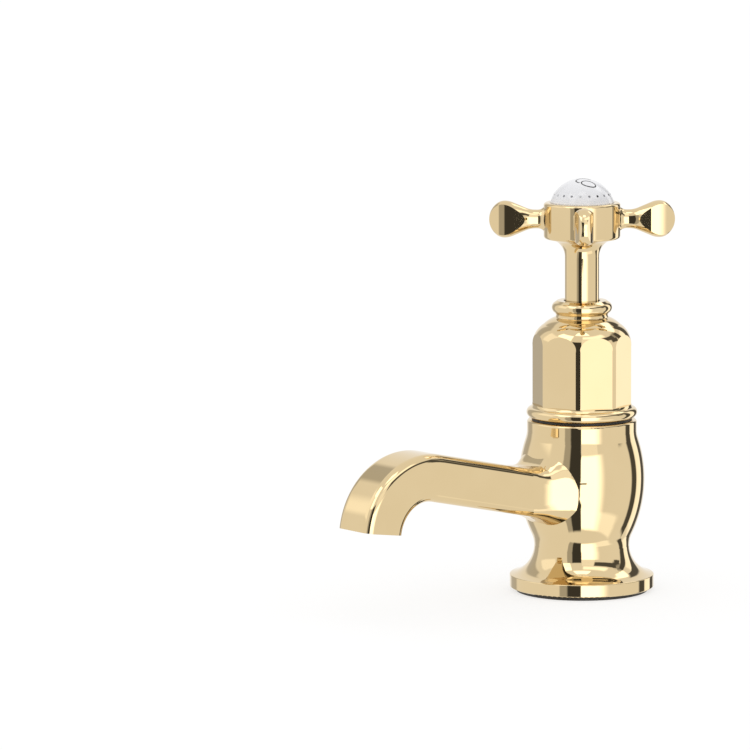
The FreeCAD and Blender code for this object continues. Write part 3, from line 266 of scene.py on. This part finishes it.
def make_floor():
    """White floor that keeps a soft shadow under the tap."""
    mesh = bpy.data.meshes.new("floor")
    s = FLOOR_REACH
    mesh.from_pydata([(-s, -s, 0), (s, -s, 0), (s, s, 0), (-s, s, 0)], [], [(0, 1, 2, 3)])
    mat, graph = new_material("floor_white")
    matt = graph.add("ShaderNodeBsdfDiffuse", Color=rgba(FLOOR_GREY))
    rays = graph.add("ShaderNodeLightPath")
    own = graph.product(rays.outputs["Is Camera Ray"], FLOOR_OWN_LIGHT)
    light = graph.add("ShaderNodeEmission", Color=rgba(WHITE), Strength=own)
    both = graph.add("ShaderNodeAddShader")
    graph.fill(both, (matt.outputs[0], light.outputs[0]))
    graph.finish(both)
    mesh.materials.append(mat)
    floor = place_in_scene("floor", mesh)
    floor.visible_glossy = False


# ---- materials -----------------------------------------------------------------------------

# The part of a noise's range over which a colour changes.
TINT_SPAN = (0.3, 0.7)

GOLD_DEEP = (0.722, 0.563, 0.321)
GOLD_PALE = (0.738, 0.579, 0.335)
GOLD_CLOUD_SCALE = 55.0
GOLD_HAZE_SCALE = 420.0
GOLD_HAZE_SPAN = (0.35, 0.75)
GOLD_ROUGHNESS = (0.018, 0.034)
GOLD_WAVE_SCALE = 45.0
GOLD_WAVE_STRENGTH = 0.02
GOLD_WAVE_DEPTH = 0.00005

GRAIN_STRENGTH = 0.2
GRAIN_DEPTH = 0.00005
GRAIN_ROUGHNESS = (0.85, 1.15)

PORCELAIN_DEEP = (0.86, 0.86, 0.885)
PORCELAIN_PALE = (0.885, 0.885, 0.905)
PORCELAIN_CLOUD_SCALE = 160.0
PORCELAIN_RIPPLE_SCALE = 70.0
PORCELAIN_RIPPLE_STRENGTH = 0.02
PORCELAIN_RIPPLE_DEPTH = 0.0001
GLAZE_ROUGHNESS = 0.12
GLAZE_IOR = 1.5


def polished_gold(name, seed):
    """Polished gold-coloured metal with faint cloudiness and polishing waves."""
    mat, graph = new_material(name)
    place = graph.add("ShaderNodeTexCoord").outputs["Object"]
    moved = graph.add("ShaderNodeVectorMath", {"operation": "ADD"})
    graph.fill(moved, (place, (seed, seed * 0.7, seed * 0.3)))
    where = moved.outputs[0]
    cloud = graph.noise(where, GOLD_CLOUD_SCALE, 3.0)
    tint = graph.mix_colour(graph.ramp(cloud, *TINT_SPAN), GOLD_DEEP, GOLD_PALE)
    haze = graph.ramp(graph.noise(where, GOLD_HAZE_SCALE, 4.0), *GOLD_HAZE_SPAN,
                      *GOLD_ROUGHNESS)
    waves = graph.noise(where, GOLD_WAVE_SCALE, 1.0)
    bump = graph.add("ShaderNodeBump", Strength=GOLD_WAVE_STRENGTH, Distance=GOLD_WAVE_DEPTH,
                     Height=waves)
    shader = graph.add("ShaderNodeBsdfPrincipled", Base_Color=tint, Metallic=1.0, Roughness=haze,
                       Normal=bump.outputs[0])
    graph.finish(shader)
    return mat


def plain_material(name, colour, metallic, roughness, grain=400.0, change=0.12):
    """Material whose colour and roughness vary a little with a fine grain."""
    mat, graph = new_material(name)
    place = graph.add("ShaderNodeTexCoord").outputs["Object"]
    spots = graph.noise(place, grain, 4.0)
    darker = tuple(v * (1.0 - change) for v in colour)
    tint = graph.mix_colour(graph.ramp(spots, *TINT_SPAN), darker, colour)
    smoothest, roughest = (roughness * v for v in GRAIN_ROUGHNESS)
    rough = graph.ramp(spots, *TINT_SPAN, smoothest, roughest)
    bump = graph.add("ShaderNodeBump", Strength=GRAIN_STRENGTH, Distance=GRAIN_DEPTH,
                     Height=spots)
    shader = graph.add("ShaderNodeBsdfPrincipled", Base_Color=tint, Metallic=metallic,
                       Roughness=rough, Normal=bump.outputs[0])
    graph.finish(shader)
    return mat


def porcelain(name):
    """White glaze over a faintly clouded body."""
    mat, graph = new_material(name)
    place = graph.add("ShaderNodeTexCoord").outputs["Object"]
    cloud = graph.noise(place, PORCELAIN_CLOUD_SCALE, 3.0)
    tint = graph.mix_colour(graph.ramp(cloud, *TINT_SPAN), PORCELAIN_DEEP, PORCELAIN_PALE)
    ripple = graph.add("ShaderNodeBump", Strength=PORCELAIN_RIPPLE_STRENGTH,
                       Distance=PORCELAIN_RIPPLE_DEPTH,
                       Height=graph.noise(place, PORCELAIN_RIPPLE_SCALE, 1.0))
    shader = graph.add("ShaderNodeBsdfPrincipled", Base_Color=tint, Roughness=GLAZE_ROUGHNESS,
                       IOR=GLAZE_IOR, Normal=ripple.outputs[0])
    graph.finish(shader)
    return mat


# ---- marks on the porcelain -----------------------------------------------------------------

MARKED_BODY = "handle_assembly"
DOME_TOP = 0.14336
DOME_RADIUS = 0.011576
DOME_MIDDLE = Vector((0.0, 0.0, DOME_TOP - DOME_RADIUS))
MARK_LIFT = 0.00002
DOT_RING_RADIUS = 0.00977
DOT_FIRST = -3.3
DOT_RADIUS = 0.00042
DOT_CORNERS = 14
# How far over the porcelain a dot's middle is, and how far its edge falls, in mark lifts.
DOT_LIFTS = 2
DOT_FALLS = 1.4
# How dark each dot is, from the one that faces the camera on to the right: 0 faint, 2 black.
DOT_STRENGTHS = (0, 1, 2, 1, 2, 1, 0, 0, 1, 0, 1, 0, 0, 1, 0, 1, 0, 0, 1, 1)
# Letters drawn with one stroke each: middle (right, towards the camera) and half sizes in
# millimetres, first and last angle of the stroke in degrees.
LETTER_STROKES = [
    ((2.2, 4.85), (2.45, 1.55), (0, 360)),
    ((1.1, 3.1), (3.2, 2.2), (128, 305)),
]
STROKE_WIDTH = 0.00042
STROKE_STEPS = 64
MM_IN_METRE = 1000


def on_dome(right, towards, lift):
    """Point over the porcelain dome at two distances from its axis."""
    level = direction(90, 0) * right + direction(0, 0) * towards
    height = math.sqrt(DOME_RADIUS ** 2 - level.length ** 2)
    outward = (level + Vector((0.0, 0.0, height))).normalized()
    return DOME_MIDDLE + outward * (DOME_RADIUS + lift)


def add_piece(name, verts, faces, slots, body):
    """A visible piece that moves with a body."""
    mesh = bpy.data.meshes.new(name)
    mesh.from_pydata(verts, [], faces)
    for mat in slots:
        mesh.materials.append(mat)
    piece = place_in_scene(name, mesh)
    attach(piece, body)
    return piece


def make_letters(ink):
    """Two round letters as narrow strokes of black enamel with a raised middle."""
    verts, faces = [], []
    for (right, towards), (half_right, half_towards), (first, last) in LETTER_STROKES:
        base = len(verts)
        for i in range(STROKE_STEPS + 1):
            turn = math.radians(first + (last - first) * i / STROKE_STEPS)
            for offset, lift in ((-0.5, 0.0), (0.0, MARK_LIFT), (0.5, 0.0)):
                reach = offset * STROKE_WIDTH
                x = right / MM_IN_METRE + (half_right / MM_IN_METRE + reach) * math.cos(turn)
                y = towards / MM_IN_METRE + (half_towards / MM_IN_METRE + reach) * math.sin(turn)
                verts.append(on_dome(x, y, MARK_LIFT + lift))
        for i in range(STROKE_STEPS):
            row = base + i * 3
            faces.append((row, row + 1, row + 4, row + 3))
            faces.append((row + 1, row + 2, row + 5, row + 4))
    add_piece("index_letters", verts, faces, [ink], MARKED_BODY)


def make_dots(inks):
    """Ring of small enamel dots round the dome."""
    verts, faces, kinds = [], [], []
    for number, strength in enumerate(DOT_STRENGTHS):
        turn = math.radians(DOT_FIRST + 360.0 / len(DOT_STRENGTHS) * number)
        middle_right = DOT_RING_RADIUS * math.sin(turn)
        middle_towards = DOT_RING_RADIUS * math.cos(turn)
        centre = on_dome(middle_right, middle_towards, MARK_LIFT * DOT_LIFTS)
        outward = (centre - DOME_MIDDLE).normalized()
        side = outward.cross(UP).normalized()
        upper = side.cross(outward)
        base = len(verts)
        verts.append(centre)
        for i in range(DOT_CORNERS):
            angle = math.tau * i / DOT_CORNERS
            spread = side * math.cos(angle) + upper * math.sin(angle)
            verts.append(centre + spread * DOT_RADIUS - outward * MARK_LIFT * DOT_FALLS)
        for i in range(DOT_CORNERS):
            faces.append((base, base + 1 + i, base + 1 + (i + 1) % DOT_CORNERS))
            kinds.append(strength)
    dots = add_piece("index_dots", verts, faces, inks, MARKED_BODY)
    for face, kind in zip(dots.data.polygons, kinds):
        face.material_index = kind


# ---- the tap and its studio -----------------------------------------------------------------

GOLD_SEEDS = {
    "polished_gold_body": 0.1,
    "polished_gold_bonnet": 0.5,
    "polished_gold_handle": 0.9,
}
# name: colour, metallic, roughness, and where they differ from the usual, grain and change
PLAIN_MATERIALS = {
    "foot_seal_rubber": ((0.045, 0.040, 0.034), 0.0, 0.55),
    "groove_seal_rubber": ((0.030, 0.027, 0.022), 0.0, 0.5),
    "black_rubber": ((0.022, 0.022, 0.023), 0.0, 0.6),
    "plain_brass": ((0.60, 0.44, 0.20), 1.0, 0.28, 260.0, 0.08),
    "red_fibre": ((0.36, 0.07, 0.05), 0.0, 0.75, 600.0, 0.3),
    "ceramic": ((0.78, 0.76, 0.72), 0.0, 0.18, 500.0, 0.04),
    "white_nylon": ((0.76, 0.76, 0.73), 0.0, 0.42, 350.0, 0.05),
    "stainless_steel": ((0.55, 0.55, 0.54), 1.0, 0.3, 380.0, 0.1),
}
ENAMELS = {
    "black_enamel": ((0.02, 0.02, 0.022), 0.0, 0.25, 900.0, 0.2),
    "grey_enamel": ((0.24, 0.24, 0.26), 0.0, 0.25, 900.0, 0.1),
    "faint_enamel": ((0.55, 0.56, 0.58), 0.0, 0.25, 900.0, 0.06),
}

materials = {name: polished_gold(name, seed) for name, seed in GOLD_SEEDS.items()}
for name, values in PLAIN_MATERIALS.items():
    materials[name] = plain_material(name, *values)
materials["white_porcelain"] = porcelain("white_porcelain")
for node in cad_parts.values():
    for slot in node.material_slots:
        slot.material = materials[slot.material.name]

black, grey, faint = (plain_material(name, *values) for name, values in ENAMELS.items())
make_letters(black)
make_dots([faint, grey, black])

make_camera()
make_view()
make_world()
make_floor()
for panel_row in STUDIO_PANELS:
    make_panel(*panel_row)
